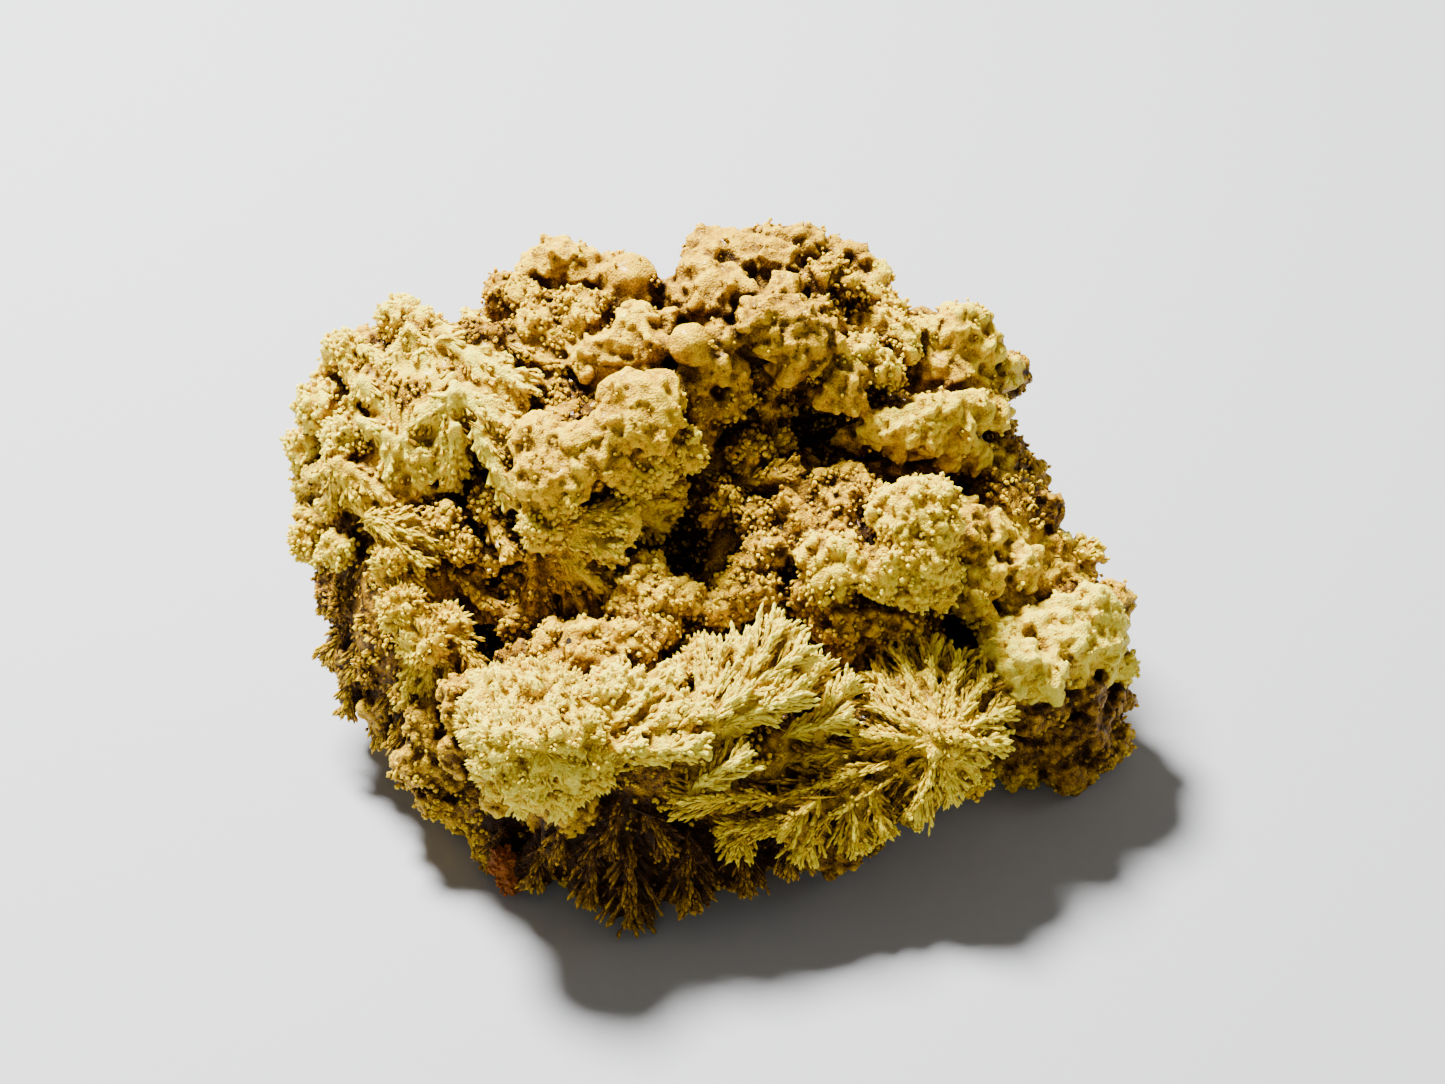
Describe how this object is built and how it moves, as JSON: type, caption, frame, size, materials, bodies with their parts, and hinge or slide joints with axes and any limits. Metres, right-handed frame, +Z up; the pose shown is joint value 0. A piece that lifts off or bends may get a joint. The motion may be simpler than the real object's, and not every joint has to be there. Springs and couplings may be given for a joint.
{
  "type": "mimetite cluster",
  "caption": "Natural mimetite specimen: yellow-brown crystal sprays, knobs and crusts grown together, broken flat underneath.",
  "frame": {"origin": "on the flat where the specimen was broken off and rests, under the middle of the show face", "axes": "+Z up from the rest face, -Y toward the side that the show face looks out over, +X to its right"},
  "size_m": [0.0472, 0.038, 0.0266],
  "materials": {
    "mimetite": "resinous, slightly translucent yellow to brown crystals with cream tips"
  },
  "bodies": {
    "root": {"mimetite_cluster": "mimetite"}
  },
  "joints": []
}
